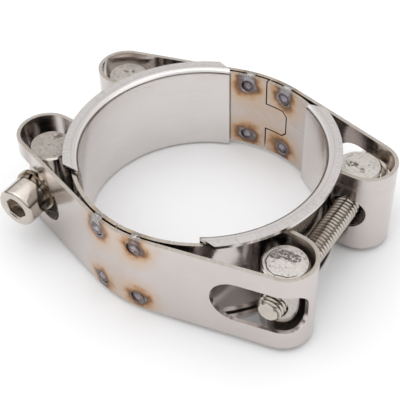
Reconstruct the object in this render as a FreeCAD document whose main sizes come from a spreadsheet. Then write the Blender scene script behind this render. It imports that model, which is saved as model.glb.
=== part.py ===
import FreeCAD, Part
import math
import os

import Sketcher

# Double-bolt pipe repair clamp.  Millimetres.
# Z is the pipe's axis and the origin is the centre of the bore.
# Both bolts run along Y.  The front strap is at -Y, the back strap at +Y.

SIZES = [
    # the bore and the two liners that form it
    ("bore_radius", 28.6),
    ("liner_thickness", 0.8),
    ("liner_half_height", 12.4),
    ("liner_bend_radius", 1.35),
    ("liner_flange_radius", 32.3),
    ("liner_half_angle", 60.0),
    ("liner_trim_angle", 6.3),
    ("liner_crop_margin", 0.1),
    ("right_liner_turn", 1.3),
    ("left_liner_turn", 168.7),
    # the folded straps
    ("liner_gap", 0.4),
    ("band_thickness", 0.9),
    ("band_width", 22.0),
    ("layer_gap", 0.5),
    ("loop_x", 34.1),
    ("loop_y", 16.6),
    ("loop_radius", 7.05),
    ("facing_bend_radius", 4.4),
    ("front_skew", 4.5),
    ("back_skew", 0.5),
    # openings punched in the straps
    ("nut_slot_height", 11.6),
    ("head_slot_height", 13.2),
    ("slot_inner_end", 22.0),
    ("slot_outer_end", 39.6),
    ("slot_wrap_angle", 80.0),
    ("slot_end_radius", 4.5),
    ("bolt_hole_radius", 4.5),
    ("bolt_hole_x", 33.2),
    # the interlocking seam between a strap's two ends
    ("seam_width", 0.35),
    ("tab_length", 6.3),
    ("tab_half_width", 4.0),
    ("tab_corner", 1.3),
    # spot welds
    ("weld_radius", 1.75),
    ("weld_x", 5.2),
    ("weld_z", 7.9),
    ("weld_dimple", 0.07),
    # trunnions
    ("trunnion_radius", 5.25),
    ("trunnion_length", 17.8),
    ("trunnion_chamfer", 0.45),
    ("mouth_slope", 1.2),
    ("plain_bore_radius", 3.3),
    ("tapped_bore_radius", 3.0),
    ("plain_mouth_radius", 3.65),
    ("tapped_mouth_radius", 3.9),
    # M6 x 50 socket cap screws
    ("thread_radius", 2.95),
    ("bolt_length", 50.0),
    ("tip_chamfer", 0.7),
    ("head_radius", 5.0),
    ("head_height", 6.0),
    ("head_chamfer", 0.4),
    ("socket_across_flats", 5.0),
    ("socket_depth", 3.0),
    # washers under each head
    ("washer_hole_radius", 3.2),
    ("plain_washer_radius", 5.5),
    ("plain_washer_thickness", 1.1),
    ("spring_washer_radius", 5.05),
    ("spring_washer_thickness", 1.3),
    ("spring_washer_slit", 0.8),
    ("spring_washer_slant", 20.0),
    ("washer_clearance", 0.02),
    # where the bolts and trunnions lie
    ("left_bolt_x", -33.1),
    ("right_bolt_x", 32.55),
    ("left_head_seat_y", -24.4),
    ("left_plain_y", -15.2),
    ("left_tapped_y", 16.65),
    ("right_plain_y", 15.95),
    ("right_tapped_y", -19.0),
]

doc = FreeCAD.newDocument("repair_clamp")
sheet = doc.addObject("Spreadsheet::Sheet", "sizes")
for row, (alias, value) in enumerate(SIZES, start=1):
    sheet.set(f"A{row}", alias)
    sheet.set(f"B{row}", str(value))
    sheet.setAlias(f"B{row}", alias)
doc.recompute()

V = FreeCAD.Vector
FAR = 55.0        # reaches past the whole clamp from any centre line
OVERLAP = 0.4     # how far a cutting tool runs past the surface it opens
CROP_SWEEP = 2.0  # degrees by which a crop runs past the end of a liner
TOUCHING = 1e-6   # distance below which a point counts as on a plane
ARC_START, ARC_END, CENTRE = 1, 2, 3
ORIGIN, X_AXIS, Y_AXIS = -1, -1, -2


FULL_HEIGHT = f"1 mm * {2 * FAR}"
BELOW_STRAP = FreeCAD.Placement(V(0, 0, -FAR), FreeCAD.Rotation())


def size(alias):
    """A driving dimension, read back from the sheet."""
    return float(sheet.get(alias))


def radians(degrees):
    return math.radians(degrees)


def polar(radius, degrees, centre=(0.0, 0.0)):
    """A point of the sketch plane given by its angle about a centre."""
    turn = radians(degrees)
    return V(centre[0] + radius * math.cos(turn), centre[1] + radius * math.sin(turn), 0)


def turned_about_z(degrees):
    return FreeCAD.Placement(V(0, 0, 0), FreeCAD.Rotation(V(0, 0, 1), degrees))


# ---------------------------------------------------------------- sketches

def new_body(name):
    return doc.addObject("PartDesign::Body", name)


def plane_of(body, role):
    for feature in body.Origin.OriginFeatures:
        if feature.Role == role:
            return feature
    raise ValueError(role)


def body_sketch(body, name, role, lift=0.0):
    """A sketch on one of the body's own origin planes, lifted along the plane's normal."""
    sketch = body.newObject("Sketcher::SketchObject", name)
    sketch.AttachmentSupport = [(plane_of(body, role), "")]
    sketch.MapMode = "FlatFace"
    sketch.AttachmentOffset = FreeCAD.Placement(V(0, 0, lift), FreeCAD.Rotation())
    return sketch


def add_line(sketch, start, end):
    return sketch.addGeometry(Part.LineSegment(start, end), False)


def add_arc(sketch, centre, radius, start, end):
    """An arc drawn anticlockwise from the start angle to the end angle, in degrees."""
    circle = Part.Circle(V(centre[0], centre[1], 0), V(0, 0, 1), radius)
    return sketch.addGeometry(Part.ArcOfCircle(circle, radians(start), radians(end)), False)


def constrain(sketch, *arguments):
    return sketch.addConstraint(Sketcher.Constraint(*arguments))


def bind(sketch, expression, kind, *arguments):
    """Adds a dimension to the sketch and binds it to the sheet."""
    index = sketch.addConstraint(Sketcher.Constraint(kind, *arguments))
    sketch.setExpression(f"Constraints[{index}]", expression)


def close_polygon(sketch, points):
    """Straight sides through the points, joined corner to corner."""
    sides = []
    for start, end in zip(points, points[1:] + points[:1]):
        sides.append(add_line(sketch, start, end))
    for side, following in zip(sides, sides[1:] + sides[:1]):
        constrain(sketch, "Coincident", side, ARC_END, following, ARC_START)
    return sides


def finish_feature(body, feature):
    body.Tip = feature
    doc.recompute()
    return feature


def cylinder(name, radius, height, placement):
    """A cylinder bound to the sheet, standing on its placement's origin."""
    solid = doc.addObject("Part::Cylinder", name)
    solid.setExpression("Radius", radius)
    solid.setExpression("Height", height)
    solid.Placement = placement
    return solid


def cut(name, base, tool):
    result = doc.addObject("Part::Cut", name)
    result.Base = base
    result.Tool = tool
    return result


def common(name, base, tool):
    result = doc.addObject("Part::Common", name)
    result.Base = base
    result.Tool = tool
    return result


def fuse(name, shapes):
    result = doc.addObject("Part::MultiFuse", name)
    result.Shapes = shapes
    return result


# ---------------------------------------------------------------- straps
# A strap is one strip.  Its outer layer runs from loop to loop, each loop
# wraps a trunnion, and the strip comes back as an inner layer that follows
# the ring.  The two ends meet in the middle at the seam.

def strip_face_chain(sketch, inset):
    """One face of the folded strip, from the seam round a loop to the outer layer's middle.

    inset is how far the face lies inside the fold: nothing for the outside
    face and the strip's thickness for the inside face.
    """
    ring = size("bore_radius") + size("liner_thickness") + size("liner_gap") + inset
    outer = ring + 2 * size("band_thickness") + size("layer_gap") - 2 * inset
    loop = size("loop_radius") - inset
    bend = size("facing_bend_radius") - inset
    loop_centre = (size("loop_x"), -size("loop_y"))

    bend_y = loop_centre[1] + loop - bend
    bend_x = math.sqrt((ring + bend) ** 2 - bend_y ** 2)
    leave_ring = math.degrees(math.atan2(bend_y, bend_x))
    reach = math.hypot(*loop_centre)
    to_loop = math.degrees(math.atan2(loop_centre[1], loop_centre[0]))
    leave_loop = to_loop - math.degrees(math.acos((outer - loop) / reach))

    inner_layer = add_arc(sketch, (0, 0), ring, -90, leave_ring)
    facing_bend = add_arc(sketch, (bend_x, bend_y), bend, 90, 180 + leave_ring)
    facing_wall = add_line(sketch, V(bend_x, bend_y + bend, 0), V(loop_centre[0], bend_y + bend, 0))
    loop_arc = add_arc(sketch, loop_centre, loop, leave_loop, 90)
    outer_run = add_line(sketch, polar(loop, leave_loop, loop_centre), polar(outer, leave_loop))
    outer_layer = add_arc(sketch, (0, 0), outer, -90, leave_loop)

    for arc in (inner_layer, outer_layer):
        constrain(sketch, "Coincident", arc, CENTRE, ORIGIN, 1)
        constrain(sketch, "PointOnObject", arc, ARC_START, Y_AXIS)
    constrain(sketch, "Tangent", inner_layer, ARC_END, facing_bend, ARC_END)
    constrain(sketch, "Tangent", facing_bend, ARC_START, facing_wall, ARC_START)
    constrain(sketch, "Tangent", facing_wall, ARC_END, loop_arc, ARC_END)
    constrain(sketch, "Tangent", loop_arc, ARC_START, outer_run, ARC_START)
    constrain(sketch, "Tangent", outer_run, ARC_END, outer_layer, ARC_END)
    constrain(sketch, "Horizontal", facing_wall)

    ring_words = "sizes.bore_radius + sizes.liner_thickness + sizes.liner_gap"
    depth_words = "0 mm" if inset == 0 else "1 mm * sizes.band_thickness"
    bind(sketch, f"1 mm * ({ring_words}) + {depth_words}", "Radius", inner_layer, ring)
    bind(
        sketch,
        f"1 mm * ({ring_words} + 2 * sizes.band_thickness + sizes.layer_gap) - {depth_words}",
        "Radius", outer_layer, outer,
    )
    bind(sketch, f"1 mm * sizes.facing_bend_radius - {depth_words}", "Radius", facing_bend, bend)
    bind(sketch, f"1 mm * sizes.loop_radius - {depth_words}", "Radius", loop_arc, loop)
    bind(
        sketch, "1 mm * sizes.loop_x",
        "DistanceX", ORIGIN, 1, loop_arc, CENTRE, loop_centre[0],
    )
    bind(
        sketch, "1 mm * sizes.loop_y",
        "DistanceY", loop_arc, CENTRE, ORIGIN, 1, -loop_centre[1],
    )
    return inner_layer, outer_layer


def folded_strip(name):
    """The whole strip before anything is punched: half of it padded, then mirrored."""
    body = new_body(name)
    sketch = body_sketch(body, f"{name}_section", "XY_Plane")
    outside_inner, outside_outer = strip_face_chain(sketch, 0.0)
    inside_inner, inside_outer = strip_face_chain(sketch, size("band_thickness"))
    for first, second in ((outside_inner, inside_inner), (outside_outer, inside_outer)):
        start = sketch.getPoint(first, ARC_START)
        end = sketch.getPoint(second, ARC_START)
        cap = add_line(sketch, start, end)
        constrain(sketch, "Coincident", cap, ARC_START, first, ARC_START)
        constrain(sketch, "Coincident", cap, ARC_END, second, ARC_START)
    doc.recompute()

    pad = body.newObject("PartDesign::Pad", f"{name}_half")
    pad.Profile = sketch
    pad.setExpression("Length", "1 mm * sizes.band_width")
    pad.SideType = "Symmetric"
    finish_feature(body, pad)

    mirror = body.newObject("PartDesign::Mirrored", f"{name}_whole")
    mirror.Originals = [pad]
    mirror.MirrorPlane = (plane_of(body, "YZ_Plane"), [""])
    finish_feature(body, mirror)
    return body


def at_loop(body, side):
    """Leaves a tool at the loop at +X for side +1, and swings it to the loop at -X for side -1."""
    if side < 0:
        body.Placement = FreeCAD.Placement(V(0, 0, 0), FreeCAD.Rotation(V(0, 1, 0), 180))
    return body


def slot_punch(name, side, height_alias):
    """Cuts the outer layer only: a round inner end, and a slightly squarer end on the loop."""
    half = size(height_alias) / 2
    inner = size("slot_inner_end")
    end = size("slot_outer_end")
    corner = size("slot_end_radius")
    body = new_body(f"{name}_punch")
    sketch = body_sketch(body, f"{name}_outline", "XZ_Plane", size("loop_y"))

    round_end = add_arc(sketch, (inner + half, 0), half, 90, 270)
    bottom = add_line(sketch, V(inner + half, -half, 0), V(end - corner, -half, 0))
    low_corner = add_arc(sketch, (end - corner, -half + corner), corner, -90, 0)
    far_side = add_line(sketch, V(end, -half + corner, 0), V(end, half - corner, 0))
    high_corner = add_arc(sketch, (end - corner, half - corner), corner, 0, 90)
    top = add_line(sketch, V(end - corner, half, 0), V(inner + half, half, 0))
    constrain(sketch, "PointOnObject", round_end, CENTRE, X_AXIS)
    constrain(sketch, "Tangent", round_end, ARC_END, bottom, ARC_START)
    constrain(sketch, "Tangent", bottom, ARC_END, low_corner, ARC_START)
    constrain(sketch, "Tangent", low_corner, ARC_END, far_side, ARC_START)
    constrain(sketch, "Tangent", far_side, ARC_END, high_corner, ARC_START)
    constrain(sketch, "Tangent", high_corner, ARC_END, top, ARC_START)
    constrain(sketch, "Tangent", top, ARC_END, round_end, ARC_START)
    constrain(sketch, "Horizontal", bottom)
    constrain(sketch, "Vertical", far_side)
    constrain(sketch, "Equal", low_corner, high_corner)
    bind(sketch, f"1 mm * sizes.{height_alias} / 2", "Radius", round_end, half)
    bind(sketch, "1 mm * sizes.slot_end_radius", "Radius", high_corner, corner)
    bind(
        sketch, f"1 mm * (sizes.slot_inner_end + sizes.{height_alias} / 2)",
        "DistanceX", ORIGIN, 1, round_end, CENTRE, inner + half,
    )
    bind(sketch, "1 mm * sizes.slot_outer_end", "DistanceX", ORIGIN, 1, far_side, ARC_START, end)
    doc.recompute()

    pad = body.newObject("PartDesign::Pad", f"{name}_block")
    pad.Profile = sketch
    pad.Length = FAR
    finish_feature(body, pad)
    return at_loop(body, side)


def slot_wrap(name, side, height_alias):
    """Carries a slot on round its loop.  Its end is square to the strip, which was punched flat."""
    thickness = size("band_thickness")
    centre = (size("loop_x"), -size("loop_y"))
    near_radius = size("loop_radius") - thickness - OVERLAP
    far_radius = size("loop_radius") + OVERLAP
    half = size(height_alias) / 2
    last = -90 + size("slot_wrap_angle")
    body = new_body(f"{name}_wrap")
    sketch = body_sketch(body, f"{name}_sector", "XY_Plane")

    under = add_arc(sketch, centre, near_radius, -90, last)
    over = add_arc(sketch, centre, far_radius, -90, last)
    start = add_line(sketch, polar(near_radius, -90, centre), polar(far_radius, -90, centre))
    end = add_line(sketch, polar(far_radius, last, centre), polar(near_radius, last, centre))
    constrain(sketch, "Coincident", under, CENTRE, over, CENTRE)
    constrain(sketch, "Coincident", start, ARC_START, under, ARC_START)
    constrain(sketch, "Coincident", start, ARC_END, over, ARC_START)
    constrain(sketch, "Coincident", end, ARC_START, over, ARC_END)
    constrain(sketch, "Coincident", end, ARC_END, under, ARC_END)
    constrain(sketch, "Vertical", start)
    constrain(sketch, "PointOnObject", under, CENTRE, end)
    bind(sketch, "1 mm * sizes.loop_x", "DistanceX", ORIGIN, 1, under, CENTRE, centre[0])
    bind(sketch, "1 mm * sizes.loop_y", "DistanceY", under, CENTRE, ORIGIN, 1, -centre[1])
    bind(
        sketch, f"1 mm * (sizes.loop_radius - sizes.band_thickness - {OVERLAP})",
        "Radius", under, near_radius,
    )
    bind(sketch, f"1 mm * (sizes.loop_radius + {OVERLAP})", "Radius", over, far_radius)
    bind(sketch, "1 deg * sizes.slot_wrap_angle", "Angle", over, radians(size("slot_wrap_angle")))
    doc.recompute()

    pad = body.newObject("PartDesign::Pad", f"{name}_sector_block")
    pad.Profile = sketch
    pad.setExpression("Length", f"1 mm * sizes.{height_alias}")
    pad.SideType = "Symmetric"
    finish_feature(body, pad)

    # round the two corners where the end wall meets the slot's long sides
    along_end = polar(1, last)
    corners = []
    for index, edge in enumerate(pad.Shape.Edges, start=1):
        middle = edge.CenterOfMass - V(centre[0], centre[1], 0)
        on_end = V(middle.x, middle.y, 0).cross(along_end).Length < TOUCHING
        if on_end and abs(abs(middle.z) - half) < TOUCHING:
            corners.append(f"Edge{index}")
    rounded = body.newObject("PartDesign::Fillet", f"{name}_sector_rounded")
    rounded.Base = (pad, corners)
    rounded.setExpression("Radius", "1 mm * sizes.slot_end_radius")
    finish_feature(body, rounded)
    return at_loop(body, side)


def between_layers_guard(name):
    """A cylinder that ends in the gap between a strap's two layers."""
    words = (
        "1 mm * (sizes.bore_radius + sizes.liner_thickness + sizes.liner_gap"
        " + sizes.band_thickness + sizes.layer_gap / 2)"
    )
    return cylinder(name, words, FULL_HEIGHT, BELOW_STRAP)


def seam_cutter(name):
    """The narrow gap round the interlocking tab, kept to the inner layer."""
    gap = size("seam_width") / 2
    length = size("tab_length")
    half = size("tab_half_width")
    corner = size("tab_corner")
    top = size("band_width")
    # the seam's centre line from the strap's top edge to its bottom edge
    path = [
        (0, top), (0, half), (-length + corner, half), (-length, half - corner),
        (-length, -half + corner), (-length + corner, -half), (0, -half), (0, -top),
    ]
    line = Part.makePolygon([V(x, 0, z) for x, z in path])
    left = line.makeOffset2D(gap, 0, False, True)
    right = line.makeOffset2D(-gap, 0, False, True)
    ends = []
    for index in (0, -1):
        ends.append(Part.makeLine(
            left.OrderedVertexes[index].Point, right.OrderedVertexes[index].Point))
    outline = Part.Wire(Part.__sortEdges__(left.Edges + right.Edges + ends))
    blade = Part.Face(outline).extrude(V(0, -FAR, 0))
    feature = doc.addObject("Part::Feature", f"{name}_blade")
    feature.Shape = blade
    return common(name, feature, between_layers_guard(f"{name}_guard"))


def along_y(x, y, z):
    """A placement whose own Z axis points along -Y."""
    return FreeCAD.Placement(V(x, y, z), FreeCAD.Rotation(V(1, 0, 0), 90))


def make_strap(name, head_slot_wraps, turn):
    """A punched strap.  Its nut loop is at +X and its head loop at -X before it is turned."""
    blank = folded_strip(f"{name}_blank")
    punches = [
        slot_punch(f"{name}_nut_slot", 1, "nut_slot_height"),
        slot_wrap(f"{name}_nut_slot", 1, "nut_slot_height"),
        slot_punch(f"{name}_head_slot", -1, "head_slot_height"),
    ]
    if head_slot_wraps:
        punches.append(slot_wrap(f"{name}_head_slot", -1, "head_slot_height"))
    slots = fuse(f"{name}_slots", punches)
    outer_only = cut(f"{name}_outer_cuts", slots, between_layers_guard(f"{name}_layer_guard"))

    through = [outer_only, seam_cutter(f"{name}_seam")]
    for side in (-1, 1):
        place = along_y(side * size("bolt_hole_x"), 0, 0)
        hole = cylinder(
            f"{name}_bolt_hole", "1 mm * sizes.bolt_hole_radius", "1 mm * sizes.loop_y", place)
        through.append(hole)
        for level in (-1, 1):
            place = along_y(side * size("weld_x"), 0, level * size("weld_z"))
            through.append(cylinder(
                f"{name}_weld_hole", "1 mm * sizes.weld_radius", f"1 mm * {FAR}", place))
    strap = cut(name, blank, fuse(f"{name}_cuts", through))
    strap.Label = name
    strap.Placement = turned_about_z(turn)
    return strap


def make_spot_welds(name, turn):
    """Four nuggets of melted metal that join a strap's two layers, slightly dished."""
    words = "sizes.bore_radius + sizes.liner_thickness + sizes.liner_gap"
    skin = cylinder(
        f"{name}_outside",
        f"1 mm * ({words} + 2 * sizes.band_thickness + sizes.layer_gap - sizes.weld_dimple)",
        FULL_HEIGHT, BELOW_STRAP)
    core = cylinder(
        f"{name}_inside", f"1 mm * ({words} + sizes.weld_dimple)", FULL_HEIGHT, BELOW_STRAP)
    shell = cut(f"{name}_shell", skin, core)
    pegs = []
    for side in (-1, 1):
        for level in (-1, 1):
            place = along_y(side * size("weld_x"), 0, level * size("weld_z"))
            pegs.append(cylinder(
                f"{name}_peg", "1 mm * sizes.weld_radius", f"1 mm * {FAR}", place))
    nuggets = common(name, fuse(f"{name}_pegs", pegs), shell)
    nuggets.Label = name
    nuggets.Placement = turned_about_z(turn)
    return nuggets


# ---------------------------------------------------------------- liners

def make_liner(name, turn_alias):
    """A curved channel: a wall inside the straps, its edges bent outwards over theirs."""
    inner = size("bore_radius")
    thick = size("liner_thickness")
    top = size("liner_half_height")
    bend = size("liner_bend_radius")
    rim = size("liner_flange_radius")
    centre = (inner + bend, top - bend)

    body = new_body(name)
    sketch = body_sketch(body, f"{name}_section", "XZ_Plane")
    bore_face = add_line(sketch, V(inner, 0, 0), V(inner, centre[1], 0))
    bore_bend = add_arc(sketch, centre, bend, 90, 180)
    flange_top = add_line(sketch, V(centre[0], top, 0), V(rim, top, 0))
    flange_rim = add_line(sketch, V(rim, top, 0), V(rim, top - thick, 0))
    flange_under = add_line(sketch, V(rim, top - thick, 0), V(centre[0], top - thick, 0))
    back_bend = add_arc(sketch, centre, bend - thick, 90, 180)
    back_face = add_line(sketch, V(inner + thick, centre[1], 0), V(inner + thick, 0, 0))
    middle = add_line(sketch, V(inner + thick, 0, 0), V(inner, 0, 0))
    constrain(sketch, "Tangent", bore_face, ARC_END, bore_bend, ARC_END)
    constrain(sketch, "Tangent", bore_bend, ARC_START, flange_top, ARC_START)
    constrain(sketch, "Coincident", flange_top, ARC_END, flange_rim, ARC_START)
    constrain(sketch, "Coincident", flange_rim, ARC_END, flange_under, ARC_START)
    constrain(sketch, "Tangent", flange_under, ARC_END, back_bend, ARC_START)
    constrain(sketch, "Tangent", back_bend, ARC_END, back_face, ARC_START)
    constrain(sketch, "Coincident", back_face, ARC_END, middle, ARC_START)
    constrain(sketch, "Coincident", middle, ARC_END, bore_face, ARC_START)
    constrain(sketch, "Coincident", bore_bend, CENTRE, back_bend, CENTRE)
    constrain(sketch, "PointOnObject", bore_face, ARC_START, X_AXIS)
    constrain(sketch, "Vertical", bore_face)
    constrain(sketch, "Horizontal", middle)
    constrain(sketch, "Horizontal", flange_top)
    constrain(sketch, "Vertical", flange_rim)
    bind(sketch, "1 mm * sizes.bore_radius", "DistanceX", ORIGIN, 1, bore_face, ARC_START, inner)
    bind(sketch, "1 mm * sizes.liner_bend_radius", "Radius", bore_bend, bend)
    bind(
        sketch, "1 mm * (sizes.liner_bend_radius - sizes.liner_thickness)",
        "Radius", back_bend, bend - thick,
    )
    bind(
        sketch, "1 mm * sizes.liner_half_height",
        "DistanceY", ORIGIN, 1, flange_top, ARC_END, top,
    )
    bind(
        sketch, "1 mm * sizes.liner_flange_radius",
        "DistanceX", ORIGIN, 1, flange_top, ARC_END, rim,
    )
    doc.recompute()

    turned = body.newObject("PartDesign::Revolution", f"{name}_upper_half")
    turned.Profile = sketch
    turned.ReferenceAxis = (sketch, ["V_Axis"])
    turned.Midplane = True
    turned.setExpression("Angle", "1 deg * 2 * sizes.liner_half_angle")
    finish_feature(body, turned)

    mirror = body.newObject("PartDesign::Mirrored", f"{name}_both_halves")
    mirror.Originals = [turned]
    mirror.MirrorPlane = (plane_of(body, "XY_Plane"), [""])
    finish_feature(body, mirror)

    # the flanges' corners are cropped, leaving the wall its full length
    crops = body_sketch(body, f"{name}_crops", "XY_Plane")
    half = size("liner_half_angle")
    trim = size("liner_trim_angle")
    wall = inner + thick + size("liner_crop_margin")
    for side in (-1, 1):
        past = side * (half + CROP_SWEEP)
        close_polygon(crops, [
            polar(wall, side * half),
            polar(wall, past),
            polar(rim + OVERLAP, past),
            polar(rim + OVERLAP, side * (half - trim)),
        ])
    doc.recompute()
    pocket = body.newObject("PartDesign::Pocket", f"{name}_cropped")
    pocket.Profile = crops
    pocket.Type = "ThroughAll"
    pocket.SideType = "Symmetric"
    before = body.Shape.Volume
    finish_feature(body, pocket)
    if body.Shape.Volume >= before:
        raise RuntimeError(f"{name}: the crops remove nothing")
    body.Label = name
    body.Placement = turned_about_z(size(turn_alias))
    return body


# ---------------------------------------------------------------- trunnions

def make_trunnion(name, bore_alias, mouth_alias, x_alias, y_alias):
    """A cross-drilled pin that stands in a loop, its hole flared at both mouths."""
    radius = size("trunnion_radius")
    bore = size(bore_alias)
    mouth = size(mouth_alias)
    reach = radius + OVERLAP
    flare = size("mouth_slope") * (mouth - bore) + reach - math.sqrt(radius ** 2 - bore ** 2)

    body = new_body(name)
    circle = body_sketch(body, f"{name}_circle", "XY_Plane")
    rim = circle.addGeometry(Part.Circle(V(0, 0, 0), V(0, 0, 1), radius), False)
    constrain(circle, "Coincident", rim, CENTRE, ORIGIN, 1)
    bind(circle, "1 mm * sizes.trunnion_radius", "Radius", rim, radius)
    doc.recompute()
    pad = body.newObject("PartDesign::Pad", f"{name}_pin")
    pad.Profile = circle
    pad.setExpression("Length", "1 mm * sizes.trunnion_length")
    pad.SideType = "Symmetric"
    finish_feature(body, pad)

    ends = []
    for number, edge in enumerate(pad.Shape.Edges, start=1):
        if isinstance(edge.Curve, Part.Circle):
            ends.append(f"Edge{number}")
    chamfer = body.newObject("PartDesign::Chamfer", f"{name}_chamfered")
    chamfer.Base = (pad, ends)
    chamfer.setExpression("Size", "1 mm * sizes.trunnion_chamfer")
    finish_feature(body, chamfer)

    profile = body_sketch(body, f"{name}_bore_half", "XY_Plane")
    close_polygon(profile, [
        V(0, -reach, 0), V(mouth, -reach, 0), V(bore, -reach + flare, 0),
        V(bore, reach - flare, 0), V(mouth, reach, 0), V(0, reach, 0),
    ])
    doc.recompute()
    groove = body.newObject("PartDesign::Groove", f"{name}_bore")
    groove.Profile = profile
    groove.ReferenceAxis = (profile, ["V_Axis"])
    groove.Angle = 360
    before = body.Shape.Volume
    finish_feature(body, groove)
    if body.Shape.Volume >= before:
        raise RuntimeError(f"{name}: the bore removes nothing")
    body.Label = name
    body.Placement = FreeCAD.Placement(V(size(x_alias), size(y_alias), 0), FreeCAD.Rotation())
    return body


# ---------------------------------------------------------------- bolts and washers

def facing(x_alias, seat_y, head_side):
    """Own +Z, from the tip to the head, along +Y or -Y, with the origin at seat_y."""
    turn = FreeCAD.Rotation(V(1, 0, 0), -90 * head_side)
    return FreeCAD.Placement(V(size(x_alias), seat_y, 0), turn)


def make_bolt(name, placement):
    """A socket cap screw.  The plain shank has the thread's outer size."""
    head = size("head_radius")
    tall = size("head_height")
    shank = size("thread_radius")
    length = size("bolt_length")
    edge = size("head_chamfer")
    tip = size("tip_chamfer")
    body = new_body(name)
    sketch = body_sketch(body, f"{name}_half", "XZ_Plane")
    close_polygon(sketch, [
        V(0, -length, 0), V(shank - tip, -length, 0), V(shank, -length + tip, 0),
        V(shank, 0, 0), V(head - edge / 2, 0, 0), V(head, edge / 2, 0),
        V(head, tall - edge, 0), V(head - edge, tall, 0), V(0, tall, 0),
    ])
    doc.recompute()
    turned = body.newObject("PartDesign::Revolution", f"{name}_turned")
    turned.Profile = sketch
    turned.ReferenceAxis = (sketch, ["V_Axis"])
    turned.Angle = 360
    finish_feature(body, turned)

    socket = body_sketch(body, f"{name}_hexagon", "XY_Plane", tall)
    corner_radius = size("socket_across_flats") / 2 / math.cos(radians(30))
    close_polygon(socket, [polar(corner_radius, 60 * index) for index in range(6)])
    doc.recompute()
    pocket = body.newObject("PartDesign::Pocket", f"{name}_socket")
    pocket.Profile = socket
    pocket.setExpression("Length", "1 mm * sizes.socket_depth")
    before = body.Shape.Volume
    finish_feature(body, pocket)
    if body.Shape.Volume >= before:
        raise RuntimeError(f"{name}: the socket removes nothing")
    body.Label = name
    body.Placement = placement
    return body


def make_ring(name, radius_alias, thickness_alias):
    """A flat ring whose top is at its own Z = 0."""
    outer = cylinder(
        f"{name}_disc", f"1 mm * sizes.{radius_alias}", f"1 mm * sizes.{thickness_alias}",
        FreeCAD.Placement(V(0, 0, -size(thickness_alias)), FreeCAD.Rotation()))
    hole = cylinder(
        f"{name}_hole", "1 mm * sizes.washer_hole_radius", FULL_HEIGHT, BELOW_STRAP)
    return cut(f"{name}_ring", outer, hole)


def make_plain_washer(name, placement):
    washer = make_ring(name, "plain_washer_radius", "plain_washer_thickness")
    washer.Label = name
    washer.Placement = placement
    return washer


def make_spring_washer(name, placement):
    """A ring split by a slanting slit."""
    ring = make_ring(name, "spring_washer_radius", "spring_washer_thickness")
    slit = doc.addObject("Part::Box", f"{name}_slit")
    slit.setExpression("Length", "1 mm * sizes.spring_washer_slit")
    slit.Width = size("spring_washer_radius") + OVERLAP
    slit.Height = 2 * size("spring_washer_radius")
    slant = FreeCAD.Rotation(V(0, 1, 0), size("spring_washer_slant"))
    middle = V(0, 0, -size("spring_washer_thickness") / 2)
    corner = slant.multVec(V(-size("spring_washer_slit") / 2, 0, -size("spring_washer_radius")))
    slit.Placement = FreeCAD.Placement(middle + corner, slant)
    washer = cut(name, ring, slit)
    washer.Label = name
    washer.Placement = placement
    return washer


# ---------------------------------------------------------------- the assembly

front_turn = -size("front_skew")
back_turn = 180 - size("back_skew")
stack = size("plain_washer_thickness") + size("spring_washer_thickness") + 3 * size("washer_clearance")
right_seat_y = size("right_plain_y") + size("trunnion_radius") + stack

nodes = [
    make_strap("front_strap", True, front_turn),
    make_strap("back_strap", False, back_turn),
    make_spot_welds("front_spot_welds", front_turn),
    make_spot_welds("back_spot_welds", back_turn),
    make_liner("right_liner", "right_liner_turn"),
    make_liner("left_liner", "left_liner_turn"),
]
SIDES = [
    ("left", "left_bolt_x", "left_plain_y", "left_tapped_y", size("left_head_seat_y"), -1),
    ("right", "right_bolt_x", "right_plain_y", "right_tapped_y", right_seat_y, 1),
]
for side, x_alias, plain_y, tapped_y, seat_y, head_side in SIDES:
    clear = size("washer_clearance")
    spring_y = seat_y - head_side * clear
    plain_washer_y = spring_y - head_side * (size("spring_washer_thickness") + clear)
    nodes += [
        make_trunnion(
            f"{side}_plain_trunnion", "plain_bore_radius", "plain_mouth_radius", x_alias, plain_y),
        make_trunnion(
            f"{side}_threaded_trunnion", "tapped_bore_radius", "tapped_mouth_radius",
            x_alias, tapped_y),
        make_bolt(f"{side}_bolt", facing(x_alias, seat_y, head_side)),
        make_spring_washer(f"{side}_spring_washer", facing(x_alias, spring_y, head_side)),
        make_plain_washer(f"{side}_plain_washer", facing(x_alias, plain_washer_y, head_side)),
    ]

doc.recompute()
for item in doc.Objects:
    for state in ("Invalid", "Error"):
        if state in item.State:
            raise RuntimeError(f"{item.Label} is {state}")
for node in nodes:
    if node.Shape.isNull() or not node.Shape.isValid():
        raise RuntimeError(f"{node.Label} has no valid shape")

os.makedirs("parts", exist_ok=True)
for node in nodes:
    node.Shape.exportStep(f"parts/{node.Label}.step")
    box = node.Shape.BoundBox
    print(
        f"{node.Label}: {len(node.Shape.Solids)} solid(s), {node.Shape.Volume:.1f} mm3,"
        f" x {box.XMin:.2f} to {box.XMax:.2f}, y {box.YMin:.2f} to {box.YMax:.2f},"
        f" z {box.ZMin:.2f} to {box.ZMax:.2f}"
    )
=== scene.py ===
import math
import random

import bmesh
import bpy
from mathutils import Matrix, Vector


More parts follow.
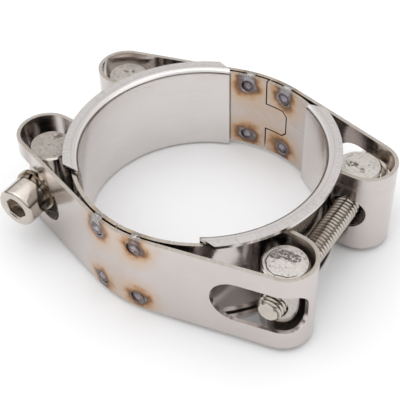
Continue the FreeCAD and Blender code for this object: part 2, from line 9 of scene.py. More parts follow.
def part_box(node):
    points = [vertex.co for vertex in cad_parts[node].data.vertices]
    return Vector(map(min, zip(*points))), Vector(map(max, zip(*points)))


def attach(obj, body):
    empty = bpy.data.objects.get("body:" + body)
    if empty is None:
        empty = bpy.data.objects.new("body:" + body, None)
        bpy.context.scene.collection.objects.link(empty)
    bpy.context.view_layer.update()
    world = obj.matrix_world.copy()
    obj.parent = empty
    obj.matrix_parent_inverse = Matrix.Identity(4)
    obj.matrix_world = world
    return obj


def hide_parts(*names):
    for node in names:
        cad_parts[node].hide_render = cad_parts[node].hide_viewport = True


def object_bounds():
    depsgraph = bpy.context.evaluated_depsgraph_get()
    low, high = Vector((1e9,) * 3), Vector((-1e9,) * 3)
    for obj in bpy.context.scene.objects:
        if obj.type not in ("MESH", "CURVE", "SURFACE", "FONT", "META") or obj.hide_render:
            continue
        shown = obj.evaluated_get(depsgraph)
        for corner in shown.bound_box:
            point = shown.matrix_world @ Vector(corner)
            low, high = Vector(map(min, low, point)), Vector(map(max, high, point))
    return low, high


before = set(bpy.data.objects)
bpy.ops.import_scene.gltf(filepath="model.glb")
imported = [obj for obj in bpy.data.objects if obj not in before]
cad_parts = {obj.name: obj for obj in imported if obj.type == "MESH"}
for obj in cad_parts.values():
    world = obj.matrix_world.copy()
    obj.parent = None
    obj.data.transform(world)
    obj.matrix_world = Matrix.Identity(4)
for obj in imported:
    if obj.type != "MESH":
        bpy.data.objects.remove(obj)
cad_low, cad_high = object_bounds()

random.seed(11)
MM = 0.001
UP = Vector((0, 0, 1))

# sizes of the real pieces, in mm. BORE and RING are radii, and a TOP is a height above mid-plane.
BORE, LINER, LINER_TOP = 28.6, 0.8, 12.4
LINER_GAP, LAYER_GAP, BAND = 0.4, 0.5, 0.9
RING_INSIDE = BORE + LINER + LINER_GAP
RING_OUTSIDE = RING_INSIDE + 2 * BAND + LAYER_GAP
STRAP_TOP = 11.0
LOOP_INSIDE, LOOP_OUTSIDE = 6.20, 7.0
FLANGE_CREASE, FLANGE_WORN_FROM, FLANGE_WORN_FULLY = 30.4, 30.0, 31.0
PIN_TOP, PIN_CHAMFER = 8.9, 0.45
WELD_X, WELD_Z, WELD_RADIUS, TINT_RISE = 5.2, 7.9, 1.75, 2.1
HEAD_RADIUS, HEAD_HEIGHT, SCREW_LENGTH = 5.0, 6.0, 50.0
THREAD_OUTSIDE, THREAD_INSIDE, PITCH = 2.95, 2.36, 1.0
THREAD_ENDS, TIP_RADIUS, TIP_SLOPE = 0.5, 2.15, 1.05
SOCKET_APOTHEM, SOCKET_DEPTH, SOCKET_MOUTH = 2.5, 3.0, 3.0

# turn: the strap's angle in degrees. halo and glow: size of the heat tint round a weld, and
# strength of the tint between the welds. stir: how broken up the weld metal looks.
STRAPS = {
    "front": {
        "turn": -4.5, "pins": ("left_plain", "right_threaded"), "halo": 1.1, "glow": 0.20, "stir": 1.0,
    },
    "back": {
        "turn": 179.5, "pins": ("left_threaded", "right_plain"), "halo": 1.3, "glow": 0.45, "stir": 0.45,
    },
}

# linear colours
STRAP_STEEL, LINER_STEEL = (0.612, 0.562, 0.540), (0.73, 0.695, 0.675)
SCREW_STEEL = (0.60, 0.545, 0.485)
SPRING_WASHER_STEEL, PLAIN_WASHER_STEEL = (0.34, 0.285, 0.22), (0.44, 0.375, 0.30)
# painted highlight colour for the pins' chamfer rims
PAINTED_RIM_HIGHLIGHT = (0.78, 0.73, 0.67)
# the second colour on the next line is painted shade for inside the strap loops
# the third colour on the next line is painted shade for the screws' thread roots and sockets
GRIME, THREAD_PAINTED_SHADE, LOOP_PAINTED_SHADE = (0.10, 0.07, 0.05), (0.060, 0.046, 0.036), (0.25, 0.20, 0.16)
# the first colour on the next line is painted shade for the flanges' flat tops
# the second colour on the next line is used for a painted shade line along the flange crease and for the
# flange's scores
FLANGE_SHADE, FLANGE_SCORES_AND_PAINTED_SHADE, SHEARED_EDGE = (0.49, 0.455, 0.435), (0.33, 0.29, 0.265), (0.42, 0.375, 0.31)
STRAW, GLOW = (0.60, 0.37, 0.18), (0.52, 0.33, 0.16)
TINT_FLECK, WELD_FLECK = (0.14, 0.070, 0.048), (0.15, 0.080, 0.060)
TINT_HUES = [
    (0.20, (0.36, 0.375, 0.415)), (0.30, (0.20, 0.185, 0.205)), (0.37, (0.100, 0.060, 0.050)),
    (0.47, (0.25, 0.105, 0.036)), (0.60, (0.46, 0.235, 0.085)), (0.78, (0.57, 0.39, 0.22)),
]
WELD_HUES = [
    (0.0, (0.50, 0.40, 0.39)), (0.14, (0.42, 0.40, 0.44)), (0.24, (0.27, 0.285, 0.35)),
    (0.33, (0.085, 0.066, 0.070)), (0.41, (0.30, 0.25, 0.22)), (0.56, (0.20, 0.15, 0.12)),
    (0.64, (0.46, 0.44, 0.43)),
]

# groove: radius in mm of the ring on a pin's end. pits: x, y and radius in mm, from the pin's axis.
PINS = {
    "left_plain": {
        "groove": 4.4, "ring_share": 0.15, "coarse": 1.0,
        "shade": (0.54, 0.49, 0.44), "stain": (0.15, 0.085, 0.055),
        "pits": [(-0.2, 3.6, 0.75), (-0.6, 2.6, 0.5)],
    },
    "left_threaded": {
        "groove": 4.0, "ring_share": 0.3, "coarse": 0.7,
        "shade": (0.60, 0.55, 0.50), "stain": (0.14, 0.10, 0.08),
        "pits": [(0.8, -0.5, 0.6), (-1.3, 0.9, 0.5), (0.2, 1.9, 0.45)],
    },
    "right_plain": {
        "groove": 4.3, "ring_share": 0.2, "coarse": 0.4,
        "shade": (0.66, 0.615, 0.57), "stain": (0.14, 0.09, 0.06),
        "pits": [(-1.9, -0.5, 1.0), (-1.0, -0.2, 0.9), (1.3, -1.1, 0.8)],
    },
    "right_threaded": {
        "groove": 4.1, "ring_share": 0.9, "coarse": 0.3,
        "shade": (0.68, 0.635, 0.59), "stain": (0.17, 0.145, 0.125),
        "pits": [(-3.2, 0.3, 0.8), (-2.3, 1.1, 1.3), (-1.3, 1.9, 1.4), (-0.1, 1.9, 1.5), (1.2, 1.9, 1.4)],
    },
}


# ---------------------------------------------------------------- meshes

def add_rings(bm, rings, segments):
    """A row of vertices for each (height, radius), where radius may be a function of the angle."""
    rows = []
    for height, radius in rings:
        row = []
        for index in range(segments):
            turn = math.tau * index / segments
            r = (radius(turn) if callable(radius) else radius) * MM
            row.append(bm.verts.new((r * math.cos(turn), r * math.sin(turn), height * MM)))
        rows.append(row)
    return rows


def add_bands(bm, bands):
    """Faces between the two rows of each band."""
    for low, high in bands:
        for index in range(len(low)):
            after = (index + 1) % len(low)
            bm.faces.new((low[index], low[after], high[after], high[index]))


def finish_mesh(name, bm, sharp_degrees=32):
    """The finished object, smooth except across edges sharper than the angle given."""
    for face in bm.faces:
        face.smooth = True
    for edge in bm.edges:
        if len(edge.link_faces) == 2 and edge.calc_face_angle(0) > math.radians(sharp_degrees):
            edge.smooth = False
    mesh = bpy.data.meshes.new(name)
    bm.to_mesh(mesh)
    bm.free()
    piece = bpy.data.objects.new(name, mesh)
    bpy.context.scene.collection.objects.link(piece)
    return piece


def join(name, pieces):
    """One object made of several, each already in place in the row frame."""
    bm = bmesh.new()
    for piece in pieces:
        part = piece.data.copy()
        part.transform(piece.matrix_world)
        bm.from_mesh(part)
        bpy.data.meshes.remove(part)
        bpy.data.objects.remove(piece)
    return finish_mesh(name, bm)


# ---------------------------------------------------------------- materials

class Nodes:
    """A short way to write a shader tree. place, x, y and z are the point's own coordinates in metres."""

    def __init__(self, name, metallic=1.0):
        self.material = bpy.data.materials.new(name)
        self.material.use_nodes = True
        self.tree = self.material.node_tree
        self.tree.nodes.clear()
        self.shader = self.tree.nodes.new("ShaderNodeBsdfPrincipled")
        self.shader.inputs["Metallic"].default_value = metallic
        output = self.tree.nodes.new("ShaderNodeOutputMaterial")
        self.tree.links.new(self.shader.outputs[0], output.inputs[0])
        self.place = self.tree.nodes.new("ShaderNodeTexCoord").outputs["Object"]
        split = self.tree.nodes.new("ShaderNodeSeparateXYZ")
        self.tree.links.new(self.place, split.inputs[0])
        self.x, self.y, self.z = split.outputs

    def put(self, target, value):
        if isinstance(value, bpy.types.NodeSocket):
            self.tree.links.new(value, target)
        elif value is not None:
            target.default_value = value

    def math(self, operation, a, b=None, clamp=False):
        node = self.tree.nodes.new("ShaderNodeMath")
        node.operation = operation
        node.use_clamp = clamp
        self.put(node.inputs[0], a)
        self.put(node.inputs[1], b)
        return node.outputs[0]

    def add(self, a, b):
        return self.math("ADD", a, b)

    def sub(self, a, b):
        return self.math("SUBTRACT", a, b)

    def mul(self, a, b):
        return self.math("MULTIPLY", a, b)

    def vector(self, operation, a, b=None):
        node = self.tree.nodes.new("ShaderNodeVectorMath")
        node.operation = operation
        self.put(node.inputs[0], a)
        self.put(node.inputs[1], b)
        return node.outputs["Value"] if operation == "LENGTH" else node.outputs[0]

    def shaded(self, colour, amount):
        """A colour made darker or lighter by amount."""
        node = self.tree.nodes.new("ShaderNodeVectorMath")
        node.operation = "SCALE"
        self.put(node.inputs[0], colour)
        self.put(node.inputs["Scale"], amount)
        return node.outputs[0]

    def flattened(self, where):
        """A vector with its height left out."""
        return self.vector("MULTIPLY", where, (1.0, 1.0, 0.0))

    def noise(self, where, scale, detail, rough, distortion=0.0):
        node = self.tree.nodes.new("ShaderNodeTexNoise")
        self.put(node.inputs["Vector"], where)
        node.inputs["Scale"].default_value = scale
        node.inputs["Detail"].default_value = detail
        node.inputs["Roughness"].default_value = rough
        node.inputs["Distortion"].default_value = distortion
        return node.outputs["Fac"]

    def swing(self, noise, amount):
        """Noise moved to lie either side of zero, amount from end to end."""
        return self.mul(self.sub(noise, 0.5), amount)

    def ramp(self, value, stops):
        node = self.tree.nodes.new("ShaderNodeValToRGB")
        self.put(node.inputs[0], value)
        fill_ramp(node.color_ramp, stops)
        return node.outputs[0]

    def remap(self, value, low, high, to_low, to_high):
        node = self.tree.nodes.new("ShaderNodeMapRange")
        for socket, setting in enumerate((value, low, high, to_low, to_high)):
            self.put(node.inputs[socket], setting)
        return node.outputs[0]

    def mix(self, share, a, b):
        node = self.tree.nodes.new("ShaderNodeMix")
        node.data_type = "RGBA"
        self.put(node.inputs[0], share)
        self.put(node.inputs[6], a)
        self.put(node.inputs[7], (*b, 1.0) if isinstance(b, tuple) else b)
        return node.outputs[2]

    def bump(self, height, strength, distance, under=None):
        node = self.tree.nodes.new("ShaderNodeBump")
        node.inputs["Strength"].default_value = strength
        node.inputs["Distance"].default_value = distance
        self.put(node.inputs["Height"], height)
        self.put(node.inputs["Normal"], under)
        return node.outputs[0]

    def thin_line(self, at, centre, per_metre):
        """1 where at equals centre, falling either side by per_metre until it is 0."""
        off = self.math("ABSOLUTE", self.sub(at, centre))
        return self.math("SUBTRACT", 1.0, self.mul(off, per_metre), True)

    def stretched(self, along, across, depth, flanged=False):
        """Place on a ring: the run round the bore's axis and the height, or on a flange the radius."""
        run = self.mul(self.math("ARCTAN2", self.y, self.x), RING_INSIDE * MM)
        height = self.z
        if flanged:
            height = self.add(height, self.vector("LENGTH", self.flattened(self.place)))
        node = self.tree.nodes.new("ShaderNodeCombineXYZ")
        self.put(node.inputs[0], self.mul(run, along))
        self.put(node.inputs[1], self.mul(height, across))
        node.inputs[2].default_value = depth
        return node.outputs[0]

    def from_line(self, centre, direction):
        """Distance in metres from the line through centre along direction."""
        away = self.vector("SUBTRACT", self.place, tuple(centre))
        return self.vector("LENGTH", self.vector("CROSS_PRODUCT", away, tuple(direction)))

    def from_nearest(self, lines):
        nearest = self.from_line(*lines[0])
        for line in lines[1:]:
            nearest = self.math("MINIMUM", nearest, self.from_line(*line))
        return nearest

    def finish(self, colour, roughness, normal):
        self.put(self.shader.inputs["Base Color"], colour)
        self.put(self.shader.inputs["Roughness"], roughness)
        self.put(self.shader.inputs["Normal"], normal)
        return self.material


def fill_ramp(ramp, stops):
    """Sets a colour ramp's stops, each a place and either a colour or a grey."""
    while len(ramp.elements) < len(stops):
        ramp.elements.new(0.5)
    for element, (at, colour) in zip(ramp.elements, stops):
        element.position = at
        element.color = (*colour, 1.0) if isinstance(colour, tuple) else (colour, colour, colour, 1.0)


def outward_of(strap):
    """The direction from the bore's axis to the middle of a strap."""
    return Matrix.Rotation(math.radians(STRAPS[strap]["turn"]), 3, "Z") @ Vector((0, -1, 0))


def weld_lines(strap):
    """The centre on the ring's outside and the outward direction of each of a strap's four welds."""
    turn = Matrix.Rotation(math.radians(STRAPS[strap]["turn"]), 4, "Z")
    depth = math.sqrt(RING_OUTSIDE ** 2 - WELD_X ** 2)
    found = []
    for side in (-1, 1):
        for level in (-1, 1):
            centre = Vector((side * WELD_X, -depth, level * WELD_Z)) * MM
            found.append((turn @ centre, outward_of(strap)))
    return found


def heat_tint(n, base, strap):
    """Blue, brown and straw rings round each weld, and a patchy glow between the welds."""
    halo = STRAPS[strap]["halo"]
    welds = weld_lines(strap)
    # an upper weld's tint runs on towards the strap's edge
    patches = [(centre + UP * TINT_RISE * MM, outward) for centre, outward in welds if centre.z > 0]
    nearest = n.math("MINIMUM", n.from_nearest(welds), n.add(n.from_nearest(patches), 0.5 * MM))
    spread = n.swing(n.noise(n.place, 300, 3, 0.55), 4.2 * MM)
    ragged = n.swing(n.noise(n.place, 1500, 4, 0.7), 1.3 * MM)
    edge = n.add(n.add(nearest, spread), ragged)

    outer_reach = n.remap(edge, 0.0, 8.0 * MM * halo, 0.0, 1.0)
    base = n.mix(n.ramp(outer_reach, [(0.26, 0.70), (0.46, 0.36), (0.80, 0.0)]), base, STRAW)
    reach = n.remap(edge, 0.0, 5.0 * MM * halo, 0.0, 1.0)
    flecks = n.ramp(n.noise(n.place, 1700, 4, 0.7, 0.8), [(0.52, 0.0), (0.62, 0.75)])
    inside = n.ramp(reach, [(0.30, 1.0), (0.44, 0.0)])
    hue = n.mix(n.mul(flecks, inside), n.ramp(reach, TINT_HUES), TINT_FLECK)
    strength = n.ramp(reach, [(0.34, 0.95), (0.46, 0.80), (0.60, 0.38), (0.80, 0.0)])
    base = n.mix(strength, base, hue)

    outward = outward_of(strap)
    away = n.from_line(outward * RING_INSIDE * MM, outward)
    glow = n.remap(away, 0.0, 13.0 * MM, STRAPS[strap]["glow"], 0.0)
    patchy = n.remap(n.noise(n.place, 210, 3, 0.6, 0.6), 0.38, 0.62, 0.25, 1.0)
    return n.mix(n.mul(glow, patchy), base, GLOW)


def loop_share(n, strap):
    """1 on the inner faces of a strap's loops, falling to 0 outside them."""
    share = 0.0
    for pin in STRAPS[strap]["pins"]:
        low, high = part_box(f"{pin}_trunnion")
        away = n.from_line((low + high) / 2, UP)
        near = n.remap(away, LOOP_INSIDE * MM, LOOP_OUTSIDE * MM, 1.0, 0.0)
        share = n.math("MAXIMUM", share, near)
    return share


def flange_scores_and_crease_shade(n, on_flange, cloud):
    """A painted shade line along the crease left by bending, and scores on the outer half of a liner's
    flange.
    """
    radius = n.vector("LENGTH", n.flattened(n.place))
    # painted shade: a dark line where the bend meets the flange's flat top
    crease = n.thin_line(n.add(radius, n.swing(cloud, 0.6 * MM)), FLANGE_CREASE * MM, 6500.0)
    strokes = n.noise(n.stretched(2600, 520, 5.0, True), 1.0, 4, 0.65, 1.2)
    outer = n.remap(radius, FLANGE_WORN_FROM * MM, FLANGE_WORN_FULLY * MM, 0.15, 0.62)
    scored = n.mul(n.ramp(strokes, [(0.50, 0.0), (0.74, 1.0)]), outer)
    return n.mul(n.math("MAXIMUM", n.mul(crease, 0.60), scored), on_flange)


def edge_wear(n, level):
    """The strokes that shearing left on a strap's edges."""
    on_edge = n.remap(level, (STRAP_TOP - 0.08) * MM, (STRAP_TOP - 0.02) * MM, 0.0, 1.0)
    strokes = n.ramp(n.noise(n.stretched(3400, 60, 5.0), 1.0, 3, 0.6, 0.4), [(0.42, 0.0), (0.62, 1.0)])
    return n.mul(on_edge, n.add(0.45, n.mul(strokes, 0.45)))


def rolled_steel(name, colour, roughness, strap=None):
    """Cold-rolled strip: fine lines along it, mottling and scratches. Without a strap it is a liner's."""
    flanged = strap is None
    n = Nodes(name)
    lines = n.noise(n.stretched(50, 4200, 0.0, flanged), 1.0, 4, 0.6)
    cloud = n.noise(n.place, 70, 4, 0.55)
    scuffs = n.noise(n.stretched(190, 1100, 3.0, flanged), 1.0, 5, 0.65, 1.2)
    scratches = n.noise(n.stretched(45, 900, 7.0, flanged), 1.0, 2, 0.5, 0.6)
    scratch = n.ramp(scratches, [(0.655, 0.0), (0.70, 1.0)])
    mixed = n.add(n.mul(lines, 0.4), n.mul(cloud, 0.6))
    base = n.shaded(colour, n.remap(mixed, 0.32, 0.68, 0.935, 1.045))
    dull = n.add(n.remap(scuffs, 0.35, 0.70, roughness - 0.03, roughness + 0.05), n.mul(scratch, 0.10))

    level = n.math("ABSOLUTE", n.z)
    if flanged:
        on_flange = n.remap(level, (LINER_TOP - 0.15) * MM, (LINER_TOP - 0.05) * MM, 0.0, 1.0)
        wear_and_shade = flange_scores_and_crease_shade(n, on_flange, cloud)
        # painted shade: the flange's flat top is darkened
        base = n.mix(n.mul(on_flange, 0.45), base, FLANGE_SHADE)
        # the crease line here is painted shade; the scores are wear
        base = n.mix(wear_and_shade, base, FLANGE_SCORES_AND_PAINTED_SHADE)
    else:
        in_loop = loop_share(n, strap)
        wear_and_shade = edge_wear(n, level)
        # painted shade: the inner faces of the strap loops are darkened towards a brown
        base = n.mix(n.mul(in_loop, 0.62), heat_tint(n, base, strap), LOOP_PAINTED_SHADE)
        base = n.mix(wear_and_shade, base, SHEARED_EDGE)
        dull = n.add(dull, n.mul(in_loop, 0.15))

    fine = n.bump(lines, 0.14, 0.012 * MM)
    scuffed = n.bump(scuffs, 0.05, 0.01 * MM, fine)
    scored = n.bump(scratch, 0.06 if flanged else 0.14, 0.008 * MM, scuffed)
    return n.finish(base, n.add(dull, n.mul(wear_and_shade, 0.20)), scored)


def turned_steel(name, colour, roughness, threaded=False):
    """Cold-formed bar: blotchy, with grime. A threaded one has painted shade in its thread's roots and its
    socket.
    """
    n = Nodes(name)
    cloud = n.noise(n.place, 260, 5, 0.6)
    grain = n.noise(n.place, 2600, 3, 0.6)
    grime = n.ramp(n.noise(n.place, 620, 4, 0.65, 0.8), [(0.60, 0.0), (0.74, 1.0)])
    base = n.shaded(colour, n.remap(cloud, 0.3, 0.7, 0.86, 1.06))
    base = n.mix(n.mul(grime, 0.35), base, GRIME)
    if threaded:
        radius = n.vector("LENGTH", n.flattened(n.place))
        deep = n.remap(radius, THREAD_INSIDE * MM, (THREAD_OUTSIDE - 0.12) * MM, 0.88, 0.0)
        tip = -SCREW_LENGTH
        above_tip = n.remap(n.z, (tip + 0.15) * MM, (tip + 0.35) * MM, 0.0, 1.0)
        below_head = n.remap(n.z, 0.0, 0.2 * MM, 1.0, 0.45)
        # painted shade: the thread's roots and the socket are darkened, less in the head and fading at the
        # tip
        base = n.mix(n.mul(n.mul(deep, above_tip), below_head), base, THREAD_PAINTED_SHADE)
    dull = n.remap(cloud, 0.3, 0.7, roughness - 0.06, roughness + 0.10)
    return n.finish(base, dull, n.bump(grain, 0.12, 0.01 * MM, n.bump(cloud, 0.12, 0.03 * MM)))


def cropped_pin(pin):
    """A trunnion: smooth sides darkened by painted shade, a chamfer rim lightened by a painted highlight,
    and ends rough from cropping with a faint ring and pits.
    """
    look = PINS[pin]
    low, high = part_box(f"{pin}_trunnion")
    axis = (low + high) / 2
    n = Nodes(f"{pin} pin steel")
    across = n.flattened(n.vector("SUBTRACT", n.place, (axis.x, axis.y, 0.0)))
    level = n.math("ABSOLUTE", n.z)
    top = n.remap(level, (PIN_TOP - 0.12) * MM, (PIN_TOP - 0.02) * MM, 0.0, 1.0)
    rough = n.noise(n.place, 1500, 6, 0.72, 0.5)
    drag = n.noise(n.vector("MULTIPLY", n.place, (380.0, 1900.0, 380.0)), 1.0, 5, 0.65, 0.7)
    mottle = n.add(n.mul(rough, 0.6), n.mul(drag, 0.4))

    wander = n.add(n.vector("LENGTH", across), n.swing(n.noise(n.place, 420, 3, 0.6), 1.0 * MM))
    ring = n.thin_line(wander, look["groove"] * MM, 4200.0)
    broken = n.ramp(n.noise(n.place, 260, 2, 0.5), [(0.44, 0.0), (0.58, 1.0)])
    specks = n.ramp(n.noise(n.place, 1700, 3, 0.6, 0.4), [(0.60, 0.0), (0.68, 1.0)])
    marks = n.math("MAXIMUM", n.mul(ring, n.mul(broken, look["ring_share"])), n.mul(specks, 0.5))
    crumbs = n.ramp(n.noise(n.place, 2300, 3, 0.6), [(0.45, 0.05), (0.54, 1.0)])
    for x, y, radius in look["pits"]:
        away = n.vector("LENGTH", n.vector("SUBTRACT", across, (x * MM, y * MM, 0.0)))
        ragged = n.add(away, n.swing(rough, 1.6 * MM))
        pit = n.remap(ragged, radius * MM * 0.55, radius * MM, 1.0, 0.0)
        marks = n.math("MAXIMUM", marks, n.mul(pit, crumbs))
    marks = n.mul(marks, top)

    # painted shade: the pin's sides are darkened to 0.78 of the tone of its chamfer and end
    side = n.remap(level, (PIN_TOP - 2 * PIN_CHAMFER) * MM, (PIN_TOP - PIN_CHAMFER) * MM, 0.78, 1.0)
    base = n.shaded(look["shade"], n.mul(side, n.remap(mottle, 0.36, 0.64, 0.80, 1.08)))
    base = n.mix(n.mul(marks, 0.85), base, look["stain"])
    # painted highlight: the chamfer rim between the side and the end is lightened
    above_side = n.remap(level, (PIN_TOP - 0.48) * MM, (PIN_TOP - 0.42) * MM, 0.0, 1.0)
    base = n.mix(n.mul(above_side, n.sub(1.0, top)), base, PAINTED_RIM_HIGHLIGHT)
    dull = n.remap(top, 0.0, 1.0, 0.15, 0.26 + 0.12 * look["coarse"])
    torn = n.bump(n.swing(mottle, top), 0.9, 0.55 * MM * look["coarse"])
    return n.finish(base, dull, n.bump(n.sub(1.0, marks), 0.7, 0.30 * MM, torn))


def melted_steel(strap):
    """Weld metal: a bluish silver middle inside a dark ring, and silver beads."""
    stir = STRAPS[strap]["stir"]
    n = Nodes(f"{strap} weld metal")
    ripple = n.noise(n.place, 850, 4, 0.7, 1.0)
    blotch = n.noise(n.place, 1900, 4, 0.7, 0.6)
    uneven = n.add(n.from_nearest(weld_lines(strap)), n.swing(ripple, 3.6 * MM * stir))
    hue = n.ramp(n.remap(uneven, 0.0, 3.6 * MM, 0.0, 1.0), WELD_HUES)
    hue = n.mix(n.ramp(blotch, [(0.50, 0.0), (0.61, stir)]), hue, WELD_FLECK)
    dull = n.remap(blotch, 0.3, 0.7, 0.20, 0.42)
    return n.finish(hue, dull, n.bump(ripple, 0.7, 0.3 * MM, n.bump(blotch, 0.4, 0.1 * MM)))


# ---------------------------------------------------------------- welds

BUTTON_SEGMENTS = 48
BUTTON_DEPTH = 1.0
BEAD_SIZE = (0.72, 1.30, 0.42)   # half sizes in mm: through the strap, along it, and up
BEAD_SUNK = 0.18
BEAD_SEED = 40


def weld_button(name, centre, outward):
    """A dished disc of melted metal whose rim stands up a little, its face towards outward."""
    lift = random.uniform(-0.01, 0.01)
    wobble = random.uniform(0, math.tau)

    def uneven(radius):
        def at(turn):
            return radius * (1 + 0.04 * math.sin(2 * turn + wobble) + 0.03 * math.sin(5 * turn - wobble))
        return at

    bm = bmesh.new()
    rows = add_rings(bm, [
        (-BUTTON_DEPTH, WELD_RADIUS - 0.08), (-0.10, WELD_RADIUS - 0.06), (-0.05, uneven(1.52)),
        (lift, uneven(1.36)), (0.01 + lift, uneven(1.22)), (-0.03, uneven(1.04)), (-0.07, uneven(0.86)),
        (-0.03, uneven(0.60)), (0.0, uneven(0.32)), (0.0, 0.08),
    ], BUTTON_SEGMENTS)
    add_bands(bm, zip(rows, rows[1:]))
    bm.faces.new(reversed(rows[0]))
    bm.faces.new(rows[-1])
    bmesh.ops.recalc_face_normals(bm, faces=bm.faces)
    piece = finish_mesh(name, bm)
    piece.matrix_world = Matrix.Translation(centre) @ outward.to_track_quat("Z", "Y").to_matrix().to_4x4()
    return piece


def bead(name, centre, seed):
    """A small uneven drop of metal on a strap's edge, over a weld."""
    bm = bmesh.new()
    bmesh.ops.create_icosphere(bm, subdivisions=3, radius=1.0)
    draw = random.Random(seed)
    waves = []
    for _ in range(4):
        wave = Vector([draw.uniform(-1, 1) for _ in range(3)]) * 3
        waves.append((wave, draw.uniform(0, 6)))
    for vert in bm.verts:
        push = 1 + 0.09 * sum(math.sin(vert.co.dot(wave) + phase) for wave, phase in waves)
        stretched = [part * size for part, size in zip(vert.co, BEAD_SIZE)]
        vert.co = Vector(stretched) * push * MM
    piece = finish_mesh(name, bm, 80)
    turn = math.atan2(centre.y, centre.x)
    piece.matrix_world = Matrix.Translation(centre) @ Matrix.Rotation(turn, 4, "Z")
    return piece


for strap in STRAPS:
    pieces = []
    for index, (centre, outward) in enumerate(weld_lines(strap)):
        inner_centre = centre - outward * (2 * BAND + LAYER_GAP) * MM
        pieces.append(weld_button(f"{strap}_button_{index}", centre, outward))
        pieces.append(weld_button(f"{strap}_inner_button_{index}", inner_centre, -outward))
        if centre.z > 0:
            seat = centre - outward * (BAND + LAYER_GAP / 2) * MM
            seat.z = (STRAP_TOP - BEAD_SUNK) * MM
            pieces.append(bead(f"{strap}_bead_{index}", seat, BEAD_SEED + index))
    nuggets = join(f"{strap}_weld_nuggets", pieces)
    nuggets.data.materials.append(melted_steel(strap))
    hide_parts(f"{strap}_spot_welds")
    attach(nuggets, f"{strap}_half")


# ---------------------------------------------------------------- screws

SEGMENTS = 96
# one pitch of the thread: share of the pitch, and depth from crest (0) to root (1)
THREAD_FORM = [(0.0, 0.0), (0.10, 0.0), (0.30, 0.62), (0.44, 1.0), (0.56, 1.0), (0.80, 0.38)]
SHORTEST = 0.02   # no edge of the thread is left shorter than this at either end, in mm


def socket_radius(turn):
    """The hexagon socket's wall at an angle, measured from its axis."""
    part = (turn + math.pi / 6) % (math.pi / 3) - math.pi / 6
    return SOCKET_APOTHEM / math.cos(part)


def socket_mouth(turn):
    """The top of the wall, where a cone has cut the hexagon's corners off."""
    return min(SOCKET_MOUTH, socket_radius(turn) + 0.05)


def shank_radius(height, depth):
    """The screw's radius at a height, 0 under its head, with the thread cut to depth there."""
    runout = min(1.0, max(0.0, -height - THREAD_ENDS))
    point = TIP_RADIUS + (height + SCREW_LENGTH) * TIP_SLOPE
    return min(THREAD_OUTSIDE - (THREAD_OUTSIDE - THREAD_INSIDE) * depth * runout, point)


def threaded_shank(bm, top_row):
    """Faces of a right-hand thread from the tip up to top_row. Returns the row round the tip."""
    top = top_row[0].co.z / MM
    tip_row = add_rings(bm, [(-SCREW_LENGTH, shank_radius(-SCREW_LENGTH, 0.5))], SEGMENTS)[0]
    columns = []
    for index in range((int(SCREW_LENGTH / PITCH) + 2) * SEGMENTS):
        start = -SCREW_LENGTH - PITCH + index * PITCH / SEGMENTS
        turn = math.tau * index / SEGMENTS
        column = []
        for share, depth in THREAD_FORM:
            height = start + share * PITCH
            if height <= -SCREW_LENGTH + SHORTEST:
                column.append(tip_row[index % SEGMENTS])
            elif height >= top - SHORTEST:
                column.append(top_row[index % SEGMENTS])
            else:
                r = shank_radius(height, depth) * MM
                column.append(bm.verts.new((r * math.cos(turn), r * math.sin(turn), height * MM)))
        columns.append(column)
    for index in range(len(columns) - SEGMENTS - 1):
        near = columns[index] + [columns[index + SEGMENTS][0]]
        far = columns[index + 1] + [columns[index + SEGMENTS + 1][0]]
        for step in range(len(THREAD_FORM)):
            corners = []
            for vert in (near[step], far[step], far[step + 1], near[step + 1]):
                if vert not in corners:
                    corners.append(vert)
            if len(corners) > 2:
                bm.faces.new(corners)
    return tip_row


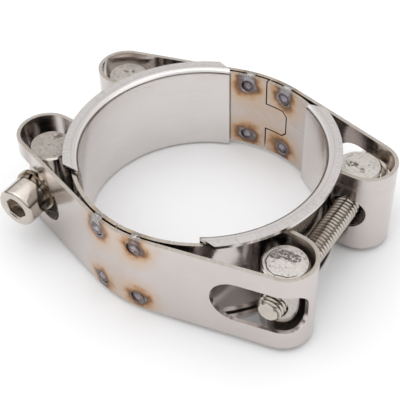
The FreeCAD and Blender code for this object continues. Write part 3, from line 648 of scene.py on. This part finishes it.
def screw(side):
    """A socket cap screw, made with its seat at height 0 and its head above, then put in its place."""
    bm = bmesh.new()
    rows = add_rings(bm, [
        (-0.03, THREAD_OUTSIDE), (0.0, THREAD_OUTSIDE + 0.02),
        (0.0, HEAD_RADIUS - 0.25), (0.06, HEAD_RADIUS - 0.08), (0.2, HEAD_RADIUS),
        (HEAD_HEIGHT - 0.80, HEAD_RADIUS), (HEAD_HEIGHT - 0.50, HEAD_RADIUS - 0.07),
        (HEAD_HEIGHT - 0.24, HEAD_RADIUS - 0.24), (HEAD_HEIGHT - 0.07, HEAD_RADIUS - 0.50),
        (HEAD_HEIGHT, HEAD_RADIUS - 0.80), (HEAD_HEIGHT, SOCKET_MOUTH + 0.15),
        (HEAD_HEIGHT - 0.05, SOCKET_MOUTH + 0.05),
        (HEAD_HEIGHT - 0.30, socket_mouth), (HEAD_HEIGHT - 0.36, socket_radius),
        (HEAD_HEIGHT - SOCKET_DEPTH + 0.3, socket_radius), (HEAD_HEIGHT - SOCKET_DEPTH, 0.4),
    ], SEGMENTS)
    tip_row = threaded_shank(bm, rows[0])
    dish = []
    for vert in tip_row:
        dish.append(bm.verts.new((vert.co.x * 0.8, vert.co.y * 0.8, vert.co.z + 0.04 * MM)))
    add_bands(bm, [(dish, tip_row), *zip(rows, rows[1:])])
    bm.faces.new(reversed(dish))
    bm.faces.new(rows[-1])
    loose = [vert for vert in bm.verts if not vert.link_faces]
    bmesh.ops.delete(bm, geom=loose, context="VERTS")
    bmesh.ops.recalc_face_normals(bm, faces=bm.faces)
    piece = finish_mesh(f"{side}_socket_screw", bm, 28)

    low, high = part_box(f"{side}_bolt")
    if side == "left":
        seat_y, lean, spin = low.y + HEAD_HEIGHT * MM, 90, 12
    else:
        seat_y, lean, spin = high.y - HEAD_HEIGHT * MM, -90, 40
    place = Matrix.Translation(Vector(((low.x + high.x) / 2, seat_y, 0)))
    tilt = Matrix.Rotation(math.radians(lean), 4, "X")
    piece.matrix_world = place @ tilt @ Matrix.Rotation(math.radians(spin), 4, "Z")
    piece.data.materials.append(turned_steel(f"{side} screw steel", SCREW_STEEL, 0.14, threaded=True))
    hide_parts(f"{side}_bolt")
    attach(piece, f"{side}_screw")


screw("left")
screw("right")


# ---------------------------------------------------------------- the CAD's own nodes

def coat(node, material):
    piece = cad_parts[node]
    piece.data.materials.clear()
    piece.data.materials.append(material)


for strap in STRAPS:
    coat(f"{strap}_strap", rolled_steel(f"{strap} strap steel", STRAP_STEEL, 0.17, strap))
liner_steel = rolled_steel("liner steel", LINER_STEEL, 0.19)
for pin in PINS:
    coat(f"{pin}_trunnion", cropped_pin(pin))
for side in ("left", "right"):
    coat(f"{side}_liner", liner_steel)
    coat(f"{side}_spring_washer", turned_steel(f"{side} spring washer steel", SPRING_WASHER_STEEL, 0.20))
    coat(f"{side}_plain_washer", turned_steel(f"{side} plain washer steel", PLAIN_WASHER_STEEL, 0.18))


# ---------------------------------------------------------------- the studio

FLOOR_GREY, FLOOR_ROUGHNESS, FLOOR_HALF_SIZE = 0.92, 0.9, 3.0
FLOOR_DROP = 0.05 * MM
SKY_STRENGTH = 2.30
SKY = [
    (0.10, (0.040, 0.031, 0.024)), (0.38, (0.43, 0.43, 0.43)),
    (0.74, (0.42, 0.423, 0.43)), (0.93, (0.66, 0.665, 0.68)),
]


def panel(name, size_x, size_y, place, power, colour):
    """A soft light aimed at the origin. Sizes and place are in metres, power in watts."""
    light = bpy.data.lights.new(name, "AREA")
    light.shape = "RECTANGLE"
    light.size, light.size_y = size_x, size_y
    light.energy = power
    light.color = colour
    lamp = bpy.data.objects.new(name, light)
    bpy.context.scene.collection.objects.link(lamp)
    lamp.location = place
    lamp.rotation_euler = (-Vector(place)).to_track_quat("-Z", "Y").to_euler()


floor_mesh = bpy.data.meshes.new("floor")
bm = bmesh.new()
bmesh.ops.create_grid(bm, x_segments=1, y_segments=1, size=FLOOR_HALF_SIZE)
bm.to_mesh(floor_mesh)
bm.free()
floor = bpy.data.objects.new("floor", floor_mesh)
bpy.context.scene.collection.objects.link(floor)
floor.location.z = cad_low.z - FLOOR_DROP
pale = Nodes("pale floor", metallic=0.0)
floor_colour = (FLOOR_GREY, FLOOR_GREY, FLOOR_GREY, 1)
floor.data.materials.append(pale.finish(floor_colour, FLOOR_ROUGHNESS, None))

panel("key", 0.70, 0.70, (-0.30, -0.25, 0.60), 0.75, (1, 1, 1))
panel("fill", 0.6, 0.50, (0.55, 0.10, 0.42), 0.30, (1.0, 0.98, 0.96))

world = bpy.data.worlds.new("studio")
bpy.context.scene.world = world
world.use_nodes = True
sky = world.node_tree
direction = sky.nodes.new("ShaderNodeTexCoord")
parts = sky.nodes.new("ShaderNodeSeparateXYZ")
fade = sky.nodes.new("ShaderNodeValToRGB")
sky.links.new(direction.outputs["Generated"], parts.inputs[0])
sky.links.new(parts.outputs[2], fade.inputs[0])
fill_ramp(fade.color_ramp, SKY)
sky.links.new(fade.outputs[0], sky.nodes["Background"].inputs[0])
sky.nodes["Background"].inputs[1].default_value = SKY_STRENGTH


# ---------------------------------------------------------------- the camera

# angles in degrees. distance, aim, lens and sensor in mm
AZIMUTH, ELEVATION, ROLL, DISTANCE = 34.478, 43.551, -2.202, 232.95
AIM = Vector((-2.379, -2.467, -0.079))
LENS, SENSOR, SHIFT_X, SHIFT_Y = 87.562, 36.0, 0.0268, -0.0341
NEAREST_SEEN = 10 * MM

around, above = math.radians(AZIMUTH), math.radians(ELEVATION)
back = Vector((math.sin(around) * math.cos(above), -math.cos(around) * math.cos(above), math.sin(above)))
right = (-back).cross(UP).normalized()
up = right.cross(-back)
axis_x = right * math.cos(math.radians(ROLL)) + up * math.sin(math.radians(ROLL))
axis_y = back.cross(axis_x)
spot = (AIM + back * DISTANCE) * MM
camera_data = bpy.data.cameras.new("camera")
camera_data.sensor_width = SENSOR
camera_data.lens = LENS
camera_data.shift_x = SHIFT_X
camera_data.shift_y = SHIFT_Y
camera_data.clip_start = NEAREST_SEEN
camera = bpy.data.objects.new("camera", camera_data)
bpy.context.scene.collection.objects.link(camera)
camera.matrix_world = Matrix((
    (axis_x.x, axis_y.x, back.x, spot.x),
    (axis_x.y, axis_y.y, back.y, spot.y),
    (axis_x.z, axis_y.z, back.z, spot.z),
    (0, 0, 0, 1),
))
bpy.context.scene.camera = camera
bpy.context.scene.view_settings.view_transform = "Standard"
